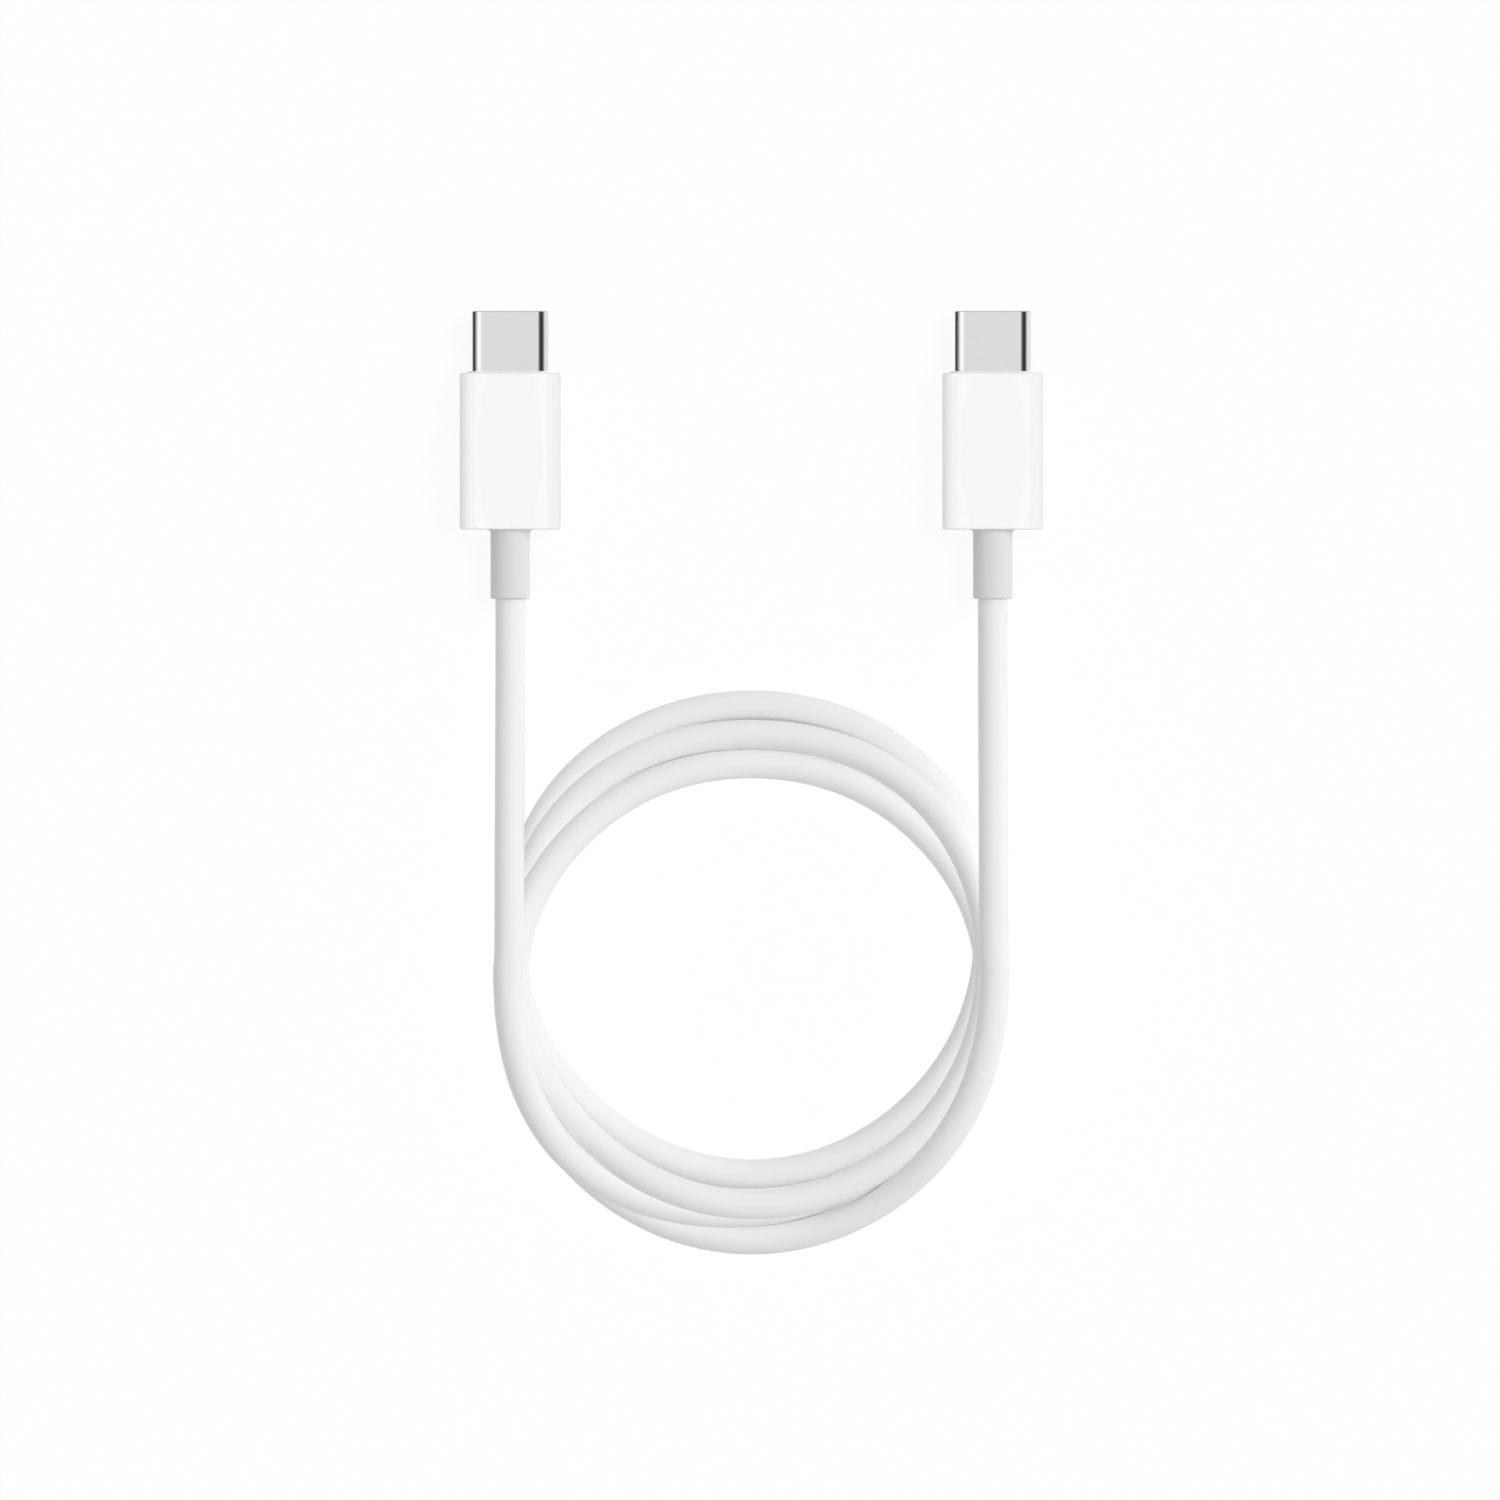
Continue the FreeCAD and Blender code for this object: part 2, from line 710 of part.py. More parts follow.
def lead_points(side):
    """Route of one lead from its strain relief to the coil, chosen by hand."""
    x = side * side_x
    return [V(x, relief_end_y, axis_height),
            V(x, relief_end_y - lead_flat, axis_height),
            V(x, relief_end_y - lead_flat - lead_rise, lead_level),
            V(x, coil_y + coil_entry, lead_level)]


def cable_lead(name, side):
    path, radii = rounded_path(lead_points(side))
    tube = tube_on(path, cable_dia)
    report_tube(name, tube, path, radii)
    return tube


def plug_pieces(side):
    """All pieces of one plug; side is -1 for the left plug and 1 for the right one."""
    pieces = {
        "plug_shell": plug_shell(),
        "front_insulator": front_insulator(),
        "upper_contacts": contact_row(1),
        "lower_contacts": contact_row(-1),
        "contact_tails": contact_tails(),
        "upper_carrier": carrier(1),
        "lower_carrier": carrier(-1),
        "latch_arm_outer": latch_arm(side),
        "latch_arm_inner": latch_arm(-side),
        "latch_anchors": latch_anchors(),
        "upper_ground_spring": ground_spring(1),
        "lower_ground_spring": ground_spring(-1),
        "board": board(),
        "marker_chip": marker_chip(),
        "bypass_capacitors": bypass_capacitors(),
        "solder_joints": solder_joints(),
        "upper_shield_can": shield_can(1),
        "lower_shield_can": shield_can(-1),
        "crimp_ring": crimp_ring(),
        "braid_end": braid_end(),
        "inner_mould": inner_mould(),
        "housing": housing(),
        "strain_relief": strain_relief(),
        "jacket_end": jacket_end(),
    }
    for name in wire_plan():
        pieces[name] = wires(name)
    return pieces


def save(name, shape):
    if not shape.isValid():
        print("not valid:", name)
    shape.exportStep("parts/" + name + ".step")


os.makedirs("parts", exist_ok=True)
print("shell", round(shell_width, 2), "x", round(shell_height, 2),
      "housing", round(housing_width, 2), "x", round(housing_thickness, 2),
      "x", round(housing_back - shell_reach, 2), "plug length", round(relief_back, 2))
for side, side_name in ((-1, "left"), (1, "right")):
    for piece, shape in plug_pieces(side).items():
        save(side_name + "_" + piece, shape.translated(V(side * side_x, 0, 0)))
    save("cable_lead_" + side_name, cable_lead("cable_lead_" + side_name, side))
save("cable_coil", cable_coil())
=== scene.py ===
import bmesh
import bpy
import math
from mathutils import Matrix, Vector


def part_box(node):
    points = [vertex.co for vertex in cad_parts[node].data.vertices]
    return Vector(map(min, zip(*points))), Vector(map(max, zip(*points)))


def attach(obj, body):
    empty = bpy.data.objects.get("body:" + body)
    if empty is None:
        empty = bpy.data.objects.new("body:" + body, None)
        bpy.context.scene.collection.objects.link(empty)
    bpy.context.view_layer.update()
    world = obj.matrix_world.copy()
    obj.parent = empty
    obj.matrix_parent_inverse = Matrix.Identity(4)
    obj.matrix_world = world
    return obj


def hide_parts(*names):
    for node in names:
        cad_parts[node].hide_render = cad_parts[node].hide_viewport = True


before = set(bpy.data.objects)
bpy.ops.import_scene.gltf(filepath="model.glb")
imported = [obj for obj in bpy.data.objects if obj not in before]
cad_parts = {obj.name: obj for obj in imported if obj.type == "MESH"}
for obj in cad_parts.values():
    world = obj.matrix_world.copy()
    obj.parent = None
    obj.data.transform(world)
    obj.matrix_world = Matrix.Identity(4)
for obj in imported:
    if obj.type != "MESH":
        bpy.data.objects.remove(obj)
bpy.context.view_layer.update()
mm = 0.001
sides = ("left", "right")


# Contacts, twelve in each plug: strips stamped from copper alloy and gold plated over nickel.
# The sprung ends reach forward into the insulator, and the tails are held in the carriers and
# soldered to the board.
contact_gold = "E3BE6A"
contact_gold_worn = "CFA34E"
plating_patch = 0.6 * mm
stamping_line = 0.05 * mm     # coarser than real stamping marks, so that they show
stamping_depth = 0.0006 * mm
stamped_along = (1, 0.04, 1)  # marks run the length of the strip
patch_detail = 3.0
patch_low = 0.3               # value of the patch noise where a finish has its first roughness
patch_high = 0.7              # and where it has its second
grain_detail = 2.0


def linear(code):
    """Linear colour of an sRGB hex code."""
    parts = [int(code[i:i + 2], 16) / 255 for i in (0, 2, 4)]
    return [c / 12.92 if c <= 0.04045 else ((c + 0.055) / 1.055) ** 2.4 for c in parts] + [1.0]


def add_node(tree, kind, inputs=None, **settings):
    """Node with its settings, and each input set to a value or linked to a socket."""
    node = tree.nodes.new(kind)
    for name, value in settings.items():
        setattr(node, name, value)
    for name, value in (inputs or {}).items():
        if isinstance(value, bpy.types.NodeSocket):
            tree.links.new(value, node.inputs[name])
        else:
            node.inputs[name].default_value = value
    return node


def finish(name, colours, patch, roughness, grain, depth, along=(1, 1, 1), **constants):
    """Material in soft patches between two colours and two roughnesses, with a fine relief."""
    material = bpy.data.materials.new(name)
    material.use_nodes = True
    tree = material.node_tree
    shader = tree.nodes["Principled BSDF"]
    for socket, value in constants.items():
        shader.inputs[socket.replace("_", " ")].default_value = value
    place = add_node(tree, "ShaderNodeTexCoord").outputs["Object"]
    drawn = add_node(tree, "ShaderNodeMapping", {"Vector": place, "Scale": along}).outputs[0]
    patches = add_node(tree, "ShaderNodeTexNoise",
                       {"Vector": place, "Scale": 1 / patch, "Detail": patch_detail}).outputs[0]
    tone = add_node(tree, "ShaderNodeMix", {0: patches, 6: linear(colours[0]), 7: linear(colours[1])},
                    data_type="RGBA").outputs[2]
    gloss = add_node(tree, "ShaderNodeMapRange",
                     {"Value": patches, "From Min": patch_low, "From Max": patch_high,
                      "To Min": roughness[0], "To Max": roughness[1]}).outputs[0]
    relief = add_node(tree, "ShaderNodeTexNoise",
                      {"Vector": drawn, "Scale": 1 / grain, "Detail": grain_detail}).outputs[0]
    bump = add_node(tree, "ShaderNodeBump", {"Height": relief, "Distance": depth}).outputs[0]
    tree.links.new(tone, shader.inputs["Base Color"])
    tree.links.new(gloss, shader.inputs["Roughness"])
    tree.links.new(bump, shader.inputs["Normal"])
    return material


def dress(pieces, material):
    """Gives a material to pieces of both plugs that stay as they were made."""
    for side in sides:
        for piece in pieces:
            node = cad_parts[side + "_" + piece]
            node.data.materials.clear()
            node.data.materials.append(material)


# Plated gold: a warm mirror, clouded a little where the plating is thin.
gold_plate = finish("gold plating, stamped", (contact_gold, contact_gold_worn),
                    patch=plating_patch, roughness=(0.18, 0.30), grain=stamping_line,
                    depth=stamping_depth, along=stamped_along, Metallic=1.0)
dress(("upper_contacts", "lower_contacts", "contact_tails"), gold_plate)


# Insulator and contact carriers: a heat-proof black polymer filled with glass, injection moulded.
# The insulator is the ring that the socket's tongue enters; the carriers are moulded round the
# contacts, one above the board's plane and one below it.
polymer_black = "161618"
polymer_grey = "232326"
mould_flow = 1.2 * mm
glass_grain = 0.08 * mm
glass_grain_depth = 0.003 * mm

# Filled polymer: dark and dull, with a dry sparkle from the glass near its skin.
black_polymer = finish("glass-filled polymer, moulded", (polymer_black, polymer_grey),
                       patch=mould_flow, roughness=(0.42, 0.60), grain=glass_grain,
                       depth=glass_grain_depth, IOR=1.55)
dress(("front_insulator", "upper_carrier", "lower_carrier"), black_polymer)


# Side springs and ground springs: strips blanked from hard stainless strip and bent.
# The side springs hook into the socket's tongue; the ground springs' fingers touch its plates.
spring_grey = "B9B8B4"
spring_shade = "A3A29E"
rolling_line = 0.04 * mm
rolling_depth = 0.0008 * mm
rolled_along = (1, 0.05, 1)

# Rolled stainless: cool grey, with the rolling lines still on it.
spring_strip = finish("stainless spring strip, rolled", (spring_grey, spring_shade),
                      patch=0.5 * mm, roughness=(0.24, 0.38), grain=rolling_line,
                      depth=rolling_depth, along=rolled_along, Metallic=1.0)
dress(("latch_arm_outer", "latch_arm_inner", "latch_anchors",
       "upper_ground_spring", "lower_ground_spring"), spring_strip)


# Plug shell: a seamless tube deep-drawn from stainless sheet, nickel plated and polished.
# It is pressed over the insulator and the carriers, and its rim is rolled smooth inside and out.
shell_wall = 0.30 * mm
shell_rim_round = 0.12 * mm
shell_rim_steps = 4
shell_rim_angle = math.radians(60)
shell_round_steps = 20
weld_distance = 0.0005 * mm
end_normal = 0.999            # least part of a flat end's normal that points along the plug
crease_angle = math.radians(50)
nickel_bright = "E5E5E5"
nickel_shade = "E0E0E0"
drawing_line = 0.10 * mm      # coarser than real drawing lines, so that they show
drawing_depth = 0.00012 * mm
drawn_along = (1, 0.03, 1)


def block(low, high):
    """Box between two corners."""
    mesh = bmesh.new()
    bmesh.ops.create_cube(mesh, size=1)
    bmesh.ops.scale(mesh, vec=high - low, verts=mesh.verts)
    bmesh.ops.translate(mesh, vec=(low + high) / 2, verts=mesh.verts)
    mesh.normal_update()
    return mesh


def end_face(mesh, way):
    """The flat face furthest forward along Y for way 1, or furthest back for way -1."""
    flat = [face for face in mesh.faces if abs(face.normal.y) > end_normal]
    return max(flat, key=lambda face: way * face.calc_center_median().y)


def round_edges(mesh, edges, radius, steps):
    """Rounds edges to a radius and welds the corners where the rounds meet."""
    bmesh.ops.bevel(mesh, geom=edges, offset=radius, offset_type="OFFSET", affect="EDGES",
                    segments=steps, profile=0.5, material=-1, clamp_overlap=True)
    bmesh.ops.remove_doubles(mesh, verts=mesh.verts, dist=weld_distance)
    mesh.normal_update()


def rounded_bar(low, high, radius, steps):
    """Bar along Y with its four long edges rounded."""
    mesh = block(low, high)
    long_edges = [edge for edge in mesh.edges
                  if abs(edge.verts[0].co.y - edge.verts[1].co.y) > (high.y - low.y) / 2]
    round_edges(mesh, long_edges, radius, steps)
    return mesh


def piece_from(mesh, name, material, node):
    """Finished piece that stands for a node of the cable's fixed body."""
    bmesh.ops.recalc_face_normals(mesh, faces=mesh.faces)
    data = bpy.data.meshes.new(name)
    mesh.to_mesh(data)
    mesh.free()
    data.shade_smooth()
    data.set_sharp_from_angle(angle=crease_angle)
    data.materials.append(material)
    piece = bpy.data.objects.new(name, data)
    bpy.context.scene.collection.objects.link(piece)
    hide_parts(node)
    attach(piece, "cable")
    return piece


def even_shading(piece):
    """Keeps large faces flat to the eye beside their rounded edges."""
    weighted = piece.modifiers.new("even shading", "WEIGHTED_NORMAL")
    weighted.keep_sharp = True
    weighted.weight = 100


# Polished nickel: a bright, neutral mirror, with faint lines from the drawing die.
polished_nickel = finish("nickel on stainless, drawn and polished", (nickel_bright, nickel_shade),
                         patch=2.5 * mm, roughness=(0.06, 0.10), grain=drawing_line,
                         depth=drawing_depth, along=drawn_along, Metallic=1.0)
for side in sides:
    low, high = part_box(side + "_plug_shell")
    tube = rounded_bar(low, high, (high.z - low.z) / 2, shell_round_steps)
    bmesh.ops.delete(tube, geom=[end_face(tube, 1), end_face(tube, -1)], context="FACES_ONLY")
    shell = piece_from(tube, side + "_shell_tube", polished_nickel, side + "_plug_shell")
    wall = shell.modifiers.new("wall", "SOLIDIFY")
    wall.thickness = shell_wall
    wall.offset = -1
    wall.use_even_offset = True
    rim = shell.modifiers.new("rim", "BEVEL")
    rim.width = shell_rim_round
    rim.segments = shell_rim_steps
    rim.limit_method = "ANGLE"
    rim.angle_limit = shell_rim_angle
    even_shading(shell)


# Circuit board: glass laminate with green solder mask, and the marker chip, two capacitors and
# the solder on it. The board slides up between the contact tails before it is soldered.
mask_green = "1C5A38"
mask_deep = "164A2E"
epoxy_black = "1B1B1D"
epoxy_grey = "27272A"
ceramic_tan = "A58A68"
ceramic_brown = "8F7353"
tin_bright = "C9C9C8"
tin_shade = "B2B2B1"

# Solder mask: a glossy green skin over the weave of the glass.
solder_mask = finish("solder mask on glass laminate", (mask_green, mask_deep), patch=1.0 * mm,
                     roughness=(0.22, 0.34), grain=0.25 * mm, depth=0.004 * mm, IOR=1.52)
# Chip epoxy: dull black with a fine moulded grain.
chip_epoxy = finish("chip epoxy, moulded", (epoxy_black, epoxy_grey), patch=0.5 * mm,
                    roughness=(0.50, 0.65), grain=0.05 * mm, depth=0.002 * mm, IOR=1.55)
# Capacitor ceramic: fired brown, dry and even.
fired_ceramic = finish("capacitor ceramic, fired", (ceramic_tan, ceramic_brown), patch=0.2 * mm,
                       roughness=(0.45, 0.60), grain=0.04 * mm, depth=0.001 * mm, IOR=1.6)
# Solder: bright tin that froze with slightly frosted skin.
tin_solder = finish("tin solder, reflowed", (tin_bright, tin_shade), patch=0.3 * mm,
                    roughness=(0.22, 0.40), grain=0.10 * mm, depth=0.004 * mm, Metallic=1.0)
dress(("board",), solder_mask)
dress(("marker_chip",), chip_epoxy)
dress(("bypass_capacitors",), fired_ceramic)
dress(("solder_joints",), tin_solder)


# Wires: five stranded copper cores in extruded insulation; the two for data share one colour.
# They fan out from the cable's end and are soldered to the pads behind the chip.
insulation = {
    "vbus_wire": ("A8231C", "97201A"),
    "ground_wire": ("1C1C1E", "262629"),
    "data_wires": ("2C7A3F", "276D38"),
    "cc_wire": ("24429A", "203B8A"),
}

# Extruded insulation: an even, waxy skin with the faintest ripple along its length.
for name, colours in insulation.items():
    skin = finish(name.replace("_", " ") + " insulation, extruded", colours, patch=0.8 * mm,
                  roughness=(0.32, 0.42), grain=0.20 * mm, depth=0.002 * mm, along=(1, 0.2, 1),
                  IOR=1.5)
    dress((name,), skin)


# Covers, crimp ring and braid: two halves folded from tin-plated steel close over the board, and
# a drawn ring clamps the cable's braid, which is folded back over the end of the jacket.
tinplate_bright = "C6C6C3"
tinplate_shade = "ADADA9"
braid_tin = "BFBAB0"
braid_copper = "A9927A"
braid_wire_pitch = 0.12 * mm

# Tinplate: bright grey with cloudy spangles.
tinplate = finish("tinplate, folded", (tinplate_bright, tinplate_shade), patch=0.8 * mm,
                  roughness=(0.26, 0.42), grain=0.06 * mm, depth=0.001 * mm, Metallic=1.0)
# Tinned braid: fine wires laid side by side, duller where copper shows through.
tinned_braid = finish("tinned copper braid", (braid_tin, braid_copper), patch=0.3 * mm,
                      roughness=(0.30, 0.45), grain=braid_wire_pitch, depth=0.02 * mm,
                      along=(1, 0.25, 1), Metallic=1.0)
dress(("upper_shield_can", "lower_shield_can", "crimp_ring"), tinplate)
dress(("braid_end",), tinned_braid)


# Cable: five wires, foil and braid under a jacket of white thermoplastic elastomer, extruded.
# It leaves each plug straight, climbs over the coil and goes round it three and a half times.
# The leads follow the solid model's route; the turns lie flat, and ride up where they cross.
cable_dia = 3.2 * mm
jacket_white = "EFEFEF"
jacket_shade = "EBEBEB"
jacket_grain = 0.14 * mm
jacket_grain_depth = 0.0035 * mm
lead_flat = 10.5 * mm         # lead leaves its plug level for this far
lead_climb = 18.1 * mm        # and climbs to the coil over this distance
lead_over = 10.5 * mm         # and runs level above it
coil_ahead = 1.0 * mm         # end of the lead to the coil's middle
points_per_turn = 24
settling_passes = 3
dive = range(4, 19)           # points where the first strand lies under its neighbours
dive_layers = 2 * points_per_turn + 0.5  # which is just under the strand two turns on
last_on_top = range(80, 85)   # points where the last strand lies over them
top_layer = 1
curve_order = 3
steps_around = 12
steps_along = 14

# Radii of the strands at each eighth of a turn from the left lead to the right one, in
# millimetres: seven half turns, alternately round the far side and round the plugs' side.
far_outer_in = (26.07, 28.15, 26.1, 25.6)
near_inner = (25.75, 23.5, 22.25, 23.5)
far_middle = (25.7, 25.05, 25.27, 25.42)
near_middle = (25.7, 26.35, 25.4, 26.35)
far_inner = (25.7, 22.8, 22.08, 22.75)
near_outer = (25.3, 28.24, 28.58, 28.24)
far_outer_out = (25.9, 28.05, 29.2, 28.05, 26.07)
radii = (far_outer_in + near_inner + far_middle + near_middle + far_inner + near_outer
         + far_outer_out)


def radius_at(eighths):
    """Smooth radius between the strands' values, level where the leads take over."""
    here = min(int(eighths), len(radii) - 2)
    share = eighths - here
    before = radii[here - 1] if here else radii[1]
    start, end = radii[here], radii[here + 1]
    after = radii[here + 2] if here + 2 < len(radii) else radii[-2]
    bend = 3 * (start - end) + after - before
    sweep = 2 * before - 5 * start + 4 * end - after
    return (start + share / 2 * (end - before + share * (sweep + share * bend))) * mm


turn_points = (len(radii) - 1) * points_per_turn // 8 + 1
strand_radius = [radius_at(i * 8 / points_per_turn) for i in range(turn_points)]
height = [cable_dia / 2] * turn_points
# Later strands lie under earlier ones, but for the first strand's dive and the last strand's end.
layer = [-point for point in range(turn_points)]
for point in dive:
    layer[point] -= dive_layers
for point in last_on_top:
    layer[point] = top_layer


def rest_height(point):
    """Lowest height at which a strand clears the floor and the strands that lie under it."""
    lowest = cable_dia / 2
    for other in range(point % points_per_turn, turn_points, points_per_turn):
        aside = abs(strand_radius[point] - strand_radius[other])
        if layer[other] < layer[point] and aside < cable_dia:
            lowest = max(lowest, height[other] + math.sqrt(cable_dia ** 2 - aside ** 2))
    return lowest


# The cable is stiff, so after it is laid each strand is eased over its neighbours' crossings.
for point in sorted(range(turn_points), key=lambda point: layer[point]):
    height[point] = rest_height(point)
for _ in range(settling_passes):
    for point in range(turn_points - 2, 0, -1):
        eased = (height[point - 1] + 2 * height[point] + height[point + 1]) / 4
        height[point] = max(rest_height(point), eased)
    height[0] = rest_height(0)

exits = []
for side in sides:
    low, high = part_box(side + "_strain_relief")
    exits.append(Vector(((low.x + high.x) / 2, low.y, (low.z + high.z) / 2)))
coil_y = exits[0].y - lead_flat - lead_climb - lead_over - coil_ahead


def lead(start, top):
    """Control points from a plug to the place where its lead joins the coil."""
    return [start,
            start - Vector((0, lead_flat, 0)),
            Vector((start.x, start.y - lead_flat - lead_climb, top)),
            Vector((start.x, coil_y + coil_ahead, top))]


# A control point stands a little outside the curve that it draws.
outward = 1 / math.cos(math.pi / points_per_turn)
route = lead(exits[0], height[0])
for point in range(turn_points):
    angle = math.pi + 2 * math.pi * point / points_per_turn
    reach = strand_radius[point] * outward
    route.append(Vector((reach * math.cos(angle), coil_y + reach * math.sin(angle), height[point])))
route += lead(exits[1], height[-1])[::-1]

line = bpy.data.curves.new("charging_lead", "CURVE")
line.dimensions = "3D"
spline = line.splines.new("NURBS")
spline.points.add(len(route) - 1)
for control, place in zip(spline.points, route):
    control.co = (place.x, place.y, place.z, 1)
spline.order_u = curve_order
spline.use_endpoint_u = True
line.bevel_depth = cable_dia / 2
line.bevel_resolution = steps_around
line.resolution_u = steps_along
line.use_fill_caps = True

# Matte elastomer: soft white, with a dry, very fine grain that keeps highlights broad.
jacket = finish("white elastomer, extruded matte", (jacket_white, jacket_shade), patch=6.0 * mm,
                roughness=(0.50, 0.60), grain=jacket_grain, depth=jacket_grain_depth, IOR=1.48)
line.materials.append(jacket)
cable = bpy.data.objects.new("cable_run", line)
bpy.context.scene.collection.objects.link(cable)
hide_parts("cable_lead_left", "cable_coil", "cable_lead_right")
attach(cable, "cable")
dress(("jacket_end",), jacket)


# Filler: white polyolefin moulded round the covers and the crimp, so that nothing inside moves.
# Only its low lip round the base of the shell shows.
filler_white = "F4F4F3"
filler_shade = "EEEEED"

# Polyolefin: a waxy white, a little duller than the housing.
filler_wax = finish("white polyolefin, moulded", (filler_white, filler_shade), patch=3.0 * mm,
                    roughness=(0.40, 0.50), grain=0.12 * mm, depth=0.002 * mm, IOR=1.5)
dress(("inner_mould",), filler_wax)


# Housing: a sleeve moulded in white ABS, threaded on the cable and pushed over the filler.
# Its long edges are well rounded and its ends are almost square, as the mould leaves them.
housing_wall = 0.60 * mm
housing_side_round = 1.90 * mm
housing_end_round = 0.22 * mm
housing_rear_wall = 1.30 * mm
housing_side_steps = 14
housing_end_steps = 5
relief_hole_gap = 0.03 * mm
relief_dia = 4.25 * mm
relief_taper = 0.105 * mm     # relief and its hole are this much less in radius at the flange
seam_margin = 0.03 * mm
abs_white = "F8F8F8"
abs_shade = "F6F6F6"
spark_grain = 0.20 * mm
spark_grain_depth = 0.0010 * mm


def loop_of(face):
    """The edges round a face."""
    return list(face.edges)


def set_round(face, centre, y, radius):
    """Spreads the corners of a face evenly over a circle about the plug's axis."""
    around = sorted(face.verts, key=lambda vert: math.atan2(vert.co.z - centre.z, vert.co.x - centre.x))
    for place, vert in enumerate(around):
        turn = 2 * math.pi * (place + 0.5) / len(around) - math.pi
        vert.co = (centre.x + radius * math.cos(turn), y, centre.z + radius * math.sin(turn))


def narrow(mesh, face, margin):
    """Leaves a margin of this width round a face, in its plane."""
    bmesh.ops.inset_region(mesh, faces=[face], thickness=margin, use_boundary=True,
                           use_even_offset=True)
    mesh.normal_update()


def join_through(mesh, front, back):
    """Opens two faces and joins their outlines with a wall."""
    edges = loop_of(front) + loop_of(back)
    bmesh.ops.delete(mesh, geom=[front, back], context="FACES_ONLY")
    bmesh.ops.bridge_loops(mesh, edges=edges)


# Moulded ABS: clean white with a satin gloss and the faint even grain of a spark-finished mould.
moulded_abs = finish("white ABS, satin moulded", (abs_white, abs_shade), patch=5.0 * mm,
                     roughness=(0.30, 0.38), grain=spark_grain, depth=spark_grain_depth, IOR=1.52)
housings = []
for side in sides:
    low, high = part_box(side + "_housing")
    centre = (low + high) / 2
    sleeve = rounded_bar(low, high, housing_side_round, housing_side_steps)
    ends = loop_of(end_face(sleeve, 1)) + loop_of(end_face(sleeve, -1))
    round_edges(sleeve, ends, housing_end_round, housing_end_steps)
    mouth = end_face(sleeve, 1)
    narrow(sleeve, mouth, housing_wall - housing_end_round)
    mouth = bmesh.ops.extrude_discrete_faces(sleeve, faces=[mouth])["faces"][0]
    bore_end = low.y + housing_rear_wall
    for vert in mouth.verts:
        vert.co.y = bore_end
    sleeve.normal_update()
    hole_radius = relief_dia / 2 + relief_hole_gap
    narrow(sleeve, mouth, seam_margin)
    set_round(mouth, centre, bore_end, hole_radius - relief_taper)
    rear = end_face(sleeve, -1)
    narrow(sleeve, rear, seam_margin)
    set_round(rear, centre, low.y, hole_radius)
    join_through(sleeve, mouth, rear)
    housing = piece_from(sleeve, side + "_housing_sleeve", moulded_abs, side + "_housing")
    even_shading(housing)
    housings.append(housing)


# Strain relief: a soft sleeve of white elastomer with a flange that the housing's rear wall holds.
# It grips the cable where it leaves the plug, and flares a little where it meets the housing.
relief_flange = Vector((7.20, 1.62, 4.14)) * mm
relief_flange_round = 1.27 * mm
relief_flare = 0.45 * mm
relief_flare_steps = 6
relief_end_round = 0.20 * mm
relief_end_steps = 4
# Both relief colours sit below the jacket's white: painted shade for the relief's deeper shading, not a
# darker elastomer.
relief_white_painted_shade = "E0E0E0"
relief_grey_painted_shade = "DCDCDC"


def draw_round(mesh, face, centre, stations):
    """Draws a face out along the plug through round sections, given as places and radii."""
    for y, radius in stations:
        face = bmesh.ops.extrude_discrete_faces(mesh, faces=[face])["faces"][0]
        set_round(face, centre, y, radius)
    mesh.normal_update()
    return face


def quarter(steps):
    """Angles of a quarter turn in equal steps."""
    return [math.pi / 2 * i / steps for i in range(steps + 1)]


# Matte elastomer, moulded: softer than the jacket and the same white, but painted darker than it as painted
# shade.
relief_skin = finish("white elastomer, moulded matte", (relief_white_painted_shade, relief_grey_painted_shade), patch=4.0 * mm,
                     roughness=(0.58, 0.68), grain=0.16 * mm, depth=0.004 * mm, IOR=1.48)
for side in sides:
    low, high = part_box(side + "_strain_relief")
    housing_low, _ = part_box(side + "_housing")
    centre = (low + high) / 2
    flange_centre = Vector((centre.x, high.y - relief_flange.y / 2, centre.z))
    flange_back = high.y - relief_flange.y
    flange = rounded_bar(flange_centre - relief_flange / 2, flange_centre + relief_flange / 2,
                         relief_flange_round, housing_side_steps)
    front = end_face(flange, 1)
    narrow(flange, front, seam_margin)
    set_round(front, centre, high.y, cable_dia / 2)
    back = end_face(flange, -1)
    narrow(flange, back, seam_margin)
    set_round(back, centre, flange_back, relief_dia / 2 - relief_taper)
    stations = [(housing_low.y, relief_dia / 2)]
    for turn in quarter(relief_flare_steps):
        stations.append((housing_low.y - relief_flare * (1 - math.cos(turn)),
                         relief_dia / 2 + relief_flare * (1 - math.sin(turn))))
    for turn in quarter(relief_end_steps):
        stations.append((low.y + relief_end_round * (1 - math.sin(turn)),
                         relief_dia / 2 - relief_end_round * (1 - math.cos(turn))))
    stations.append((low.y, cable_dia / 2))
    back = draw_round(flange, back, centre, stations)
    join_through(flange, front, back)
    relief = piece_from(flange, side + "_relief_sleeve", relief_skin, side + "_strain_relief")
    even_shading(relief)


# Studio: a white floor in a white room, as small products are photographed. One lamp stands almost
# overhead for the housings alone, one lights the rest from the right, and a faint one is as wide as
# the sky. Metal mirrors a pale ceiling, a dark screen on each side and a grey wall behind it.
floor_white = "FBFBFB"
floor_radius = 3.0
floor_steps = 64
floor_glow = 0.92             # share of the floor that the camera sees as plain white
room_light = 0.51
lamps = {                     # housings in or out, strength, and spread, lean and turn in degrees
    "overhead_lamp": ("INCLUDE", 1.24, 35, 10, 0),
    "side_lamp": ("EXCLUDE", 1.42, 35, 42, 18),
    "ceiling_lamp": (None, 0.314, 170, 0, 0),
}
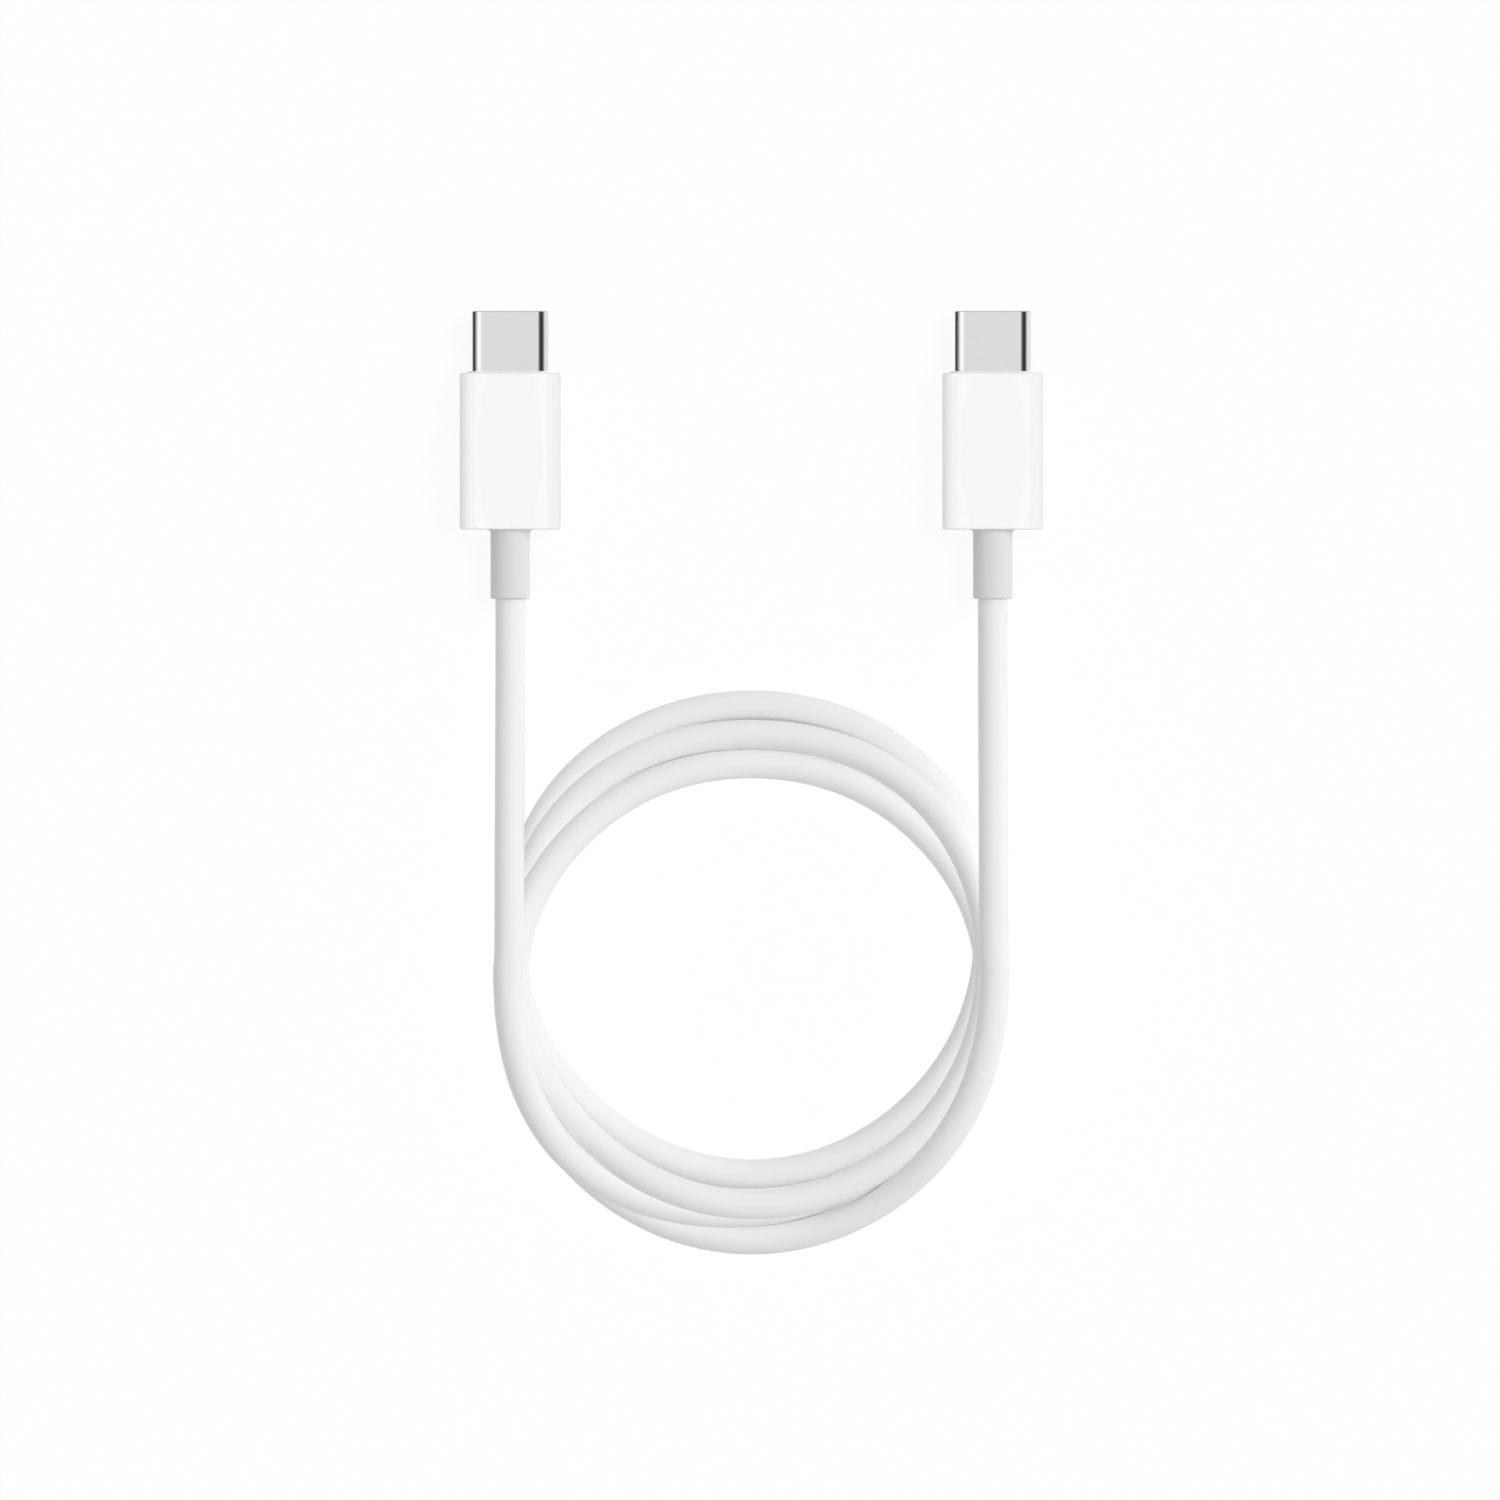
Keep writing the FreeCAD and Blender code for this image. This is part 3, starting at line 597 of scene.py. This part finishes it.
# Leans from the vertical towards +X in degrees, and how bright the room is there.
mirrored = ((-150, 0.95), (-132, 0.10), (-102, 0.04), (-86, 0.25), (-66, 0.85), (-48, 1.3), (-30, 1.25),
            (-14, 0.93), (7, 0.93), (18, 0.30), (30, 0.08), (50, 0.02), (66, 0.20), (82, 0.90), (104, 1.05),
            (136, 0.95))
screen_edge = 0.20            # along Y, of a direction's length: from here the screens fade
screen_end = 0.50             # and from here the room is mostly even
even_share = 0.80
even_wall = (0.55, 0.55, 0.55, 1.0)
photo_centre = Vector((-0.16, -31.88, 4.0)) * mm
photo_width = 0.162           # what the photo takes in, at the height of its centre
camera_lens = 500

ring = bmesh.new()
bmesh.ops.create_circle(ring, cap_ends=True, segments=floor_steps, radius=floor_radius)
floor_mesh = bpy.data.meshes.new("floor")
ring.to_mesh(floor_mesh)
ring.free()
floor = bpy.data.objects.new("floor", floor_mesh)
bpy.context.scene.collection.objects.link(floor)
floor.visible_glossy = False

paper = bpy.data.materials.new("white paper")
paper.use_nodes = True
tree = paper.node_tree
matte = tree.nodes["Principled BSDF"]
matte.inputs["Base Color"].default_value = linear(floor_white)
matte.inputs["Roughness"].default_value = 1.0
matte.inputs["Specular IOR Level"].default_value = 0.0
camera_ray = add_node(tree, "ShaderNodeLightPath").outputs["Is Camera Ray"]
share = add_node(tree, "ShaderNodeMath", {0: camera_ray, 1: floor_glow}, operation="MULTIPLY").outputs[0]
white = add_node(tree, "ShaderNodeEmission", {"Strength": 1.0}).outputs[0]
seen = add_node(tree, "ShaderNodeMixShader", {0: share, 1: matte.outputs[0], 2: white}).outputs[0]
tree.links.new(seen, tree.nodes["Material Output"].inputs["Surface"])
floor_mesh.materials.append(paper)

world = bpy.data.worlds.new("studio")
bpy.context.scene.world = world
world.use_nodes = True
tree = world.node_tree
backdrop = tree.nodes["Background"]
backdrop.inputs["Color"].default_value = linear("FFFFFF")
ways = add_node(tree, "ShaderNodeLightPath").outputs
place = add_node(tree, "ShaderNodeTexCoord").outputs["Generated"]
axes = add_node(tree, "ShaderNodeSeparateXYZ", {0: place}).outputs
lean = add_node(tree, "ShaderNodeMath", {0: axes[0], 1: axes[2]}, operation="ARCTAN2").outputs[0]
spot = add_node(tree, "ShaderNodeMapRange",
                {"Value": lean, "From Min": -math.pi, "From Max": math.pi}).outputs[0]
bands = add_node(tree, "ShaderNodeValToRGB", {0: spot})
# The ramp gets its stops first, and then each one its place and level.
while len(bands.color_ramp.elements) < len(mirrored):
    bands.color_ramp.elements.new(0.5)
for element, (degrees, level) in zip(bands.color_ramp.elements, mirrored):
    element.position = degrees / 360 + 0.5
    element.color = (level, level, level, 1.0)
ahead = add_node(tree, "ShaderNodeMath", {0: axes[1]}, operation="ABSOLUTE").outputs[0]
fade = add_node(tree, "ShaderNodeMapRange",
                {"Value": ahead, "From Min": screen_edge, "From Max": screen_end,
                 "To Max": even_share}).outputs[0]
walls = add_node(tree, "ShaderNodeMix", {0: fade, 6: bands.outputs[0], 7: even_wall},
                 data_type="RGBA").outputs[2]
plain = add_node(tree, "ShaderNodeBackground",
                 {"Color": linear("FFFFFF"), "Strength": room_light}).outputs[0]
room = add_node(tree, "ShaderNodeBackground", {"Color": walls}).outputs[0]
lit = add_node(tree, "ShaderNodeMixShader", {0: ways["Is Glossy Ray"], 1: plain, 2: room}).outputs[0]
shown = add_node(tree, "ShaderNodeMixShader",
                 {0: ways["Is Camera Ray"], 1: lit, 2: backdrop.outputs[0]}).outputs[0]
tree.links.new(shown, tree.nodes["World Output"].inputs["Surface"])

# Light comes round the thin cable from all sides, so the lamps throw no shadow of it.
unshaded = bpy.data.collections.new("unshaded")
unshaded.objects.link(cable)
for entry in unshaded.collection_objects:
    entry.light_linking.link_state = "EXCLUDE"
for name, (housings_state, strength, spread, lean_degrees, turn_degrees) in lamps.items():
    light = bpy.data.lights.new(name, "SUN")
    light.energy = strength
    light.angle = math.radians(spread)
    lamp = bpy.data.objects.new(name, light)
    bpy.context.scene.collection.objects.link(lamp)
    lamp.rotation_euler = (0, math.radians(lean_degrees), math.radians(turn_degrees))
    lamp.visible_glossy = False
    lamp.light_linking.blocker_collection = unshaded
    if housings_state:
        receivers = bpy.data.collections.new(name + "_receivers")
        for housing in housings:
            receivers.objects.link(housing)
        for entry in receivers.collection_objects:
            entry.light_linking.link_state = housings_state
        lamp.light_linking.receiver_collection = receivers

view = bpy.data.cameras.new("camera")
view.lens = camera_lens
camera = bpy.data.objects.new("camera", view)
bpy.context.scene.collection.objects.link(camera)
camera.location = photo_centre + Vector((0, 0, photo_width * camera_lens / view.sensor_width))
bpy.context.scene.camera = camera
bpy.context.scene.view_settings.view_transform = "Standard"
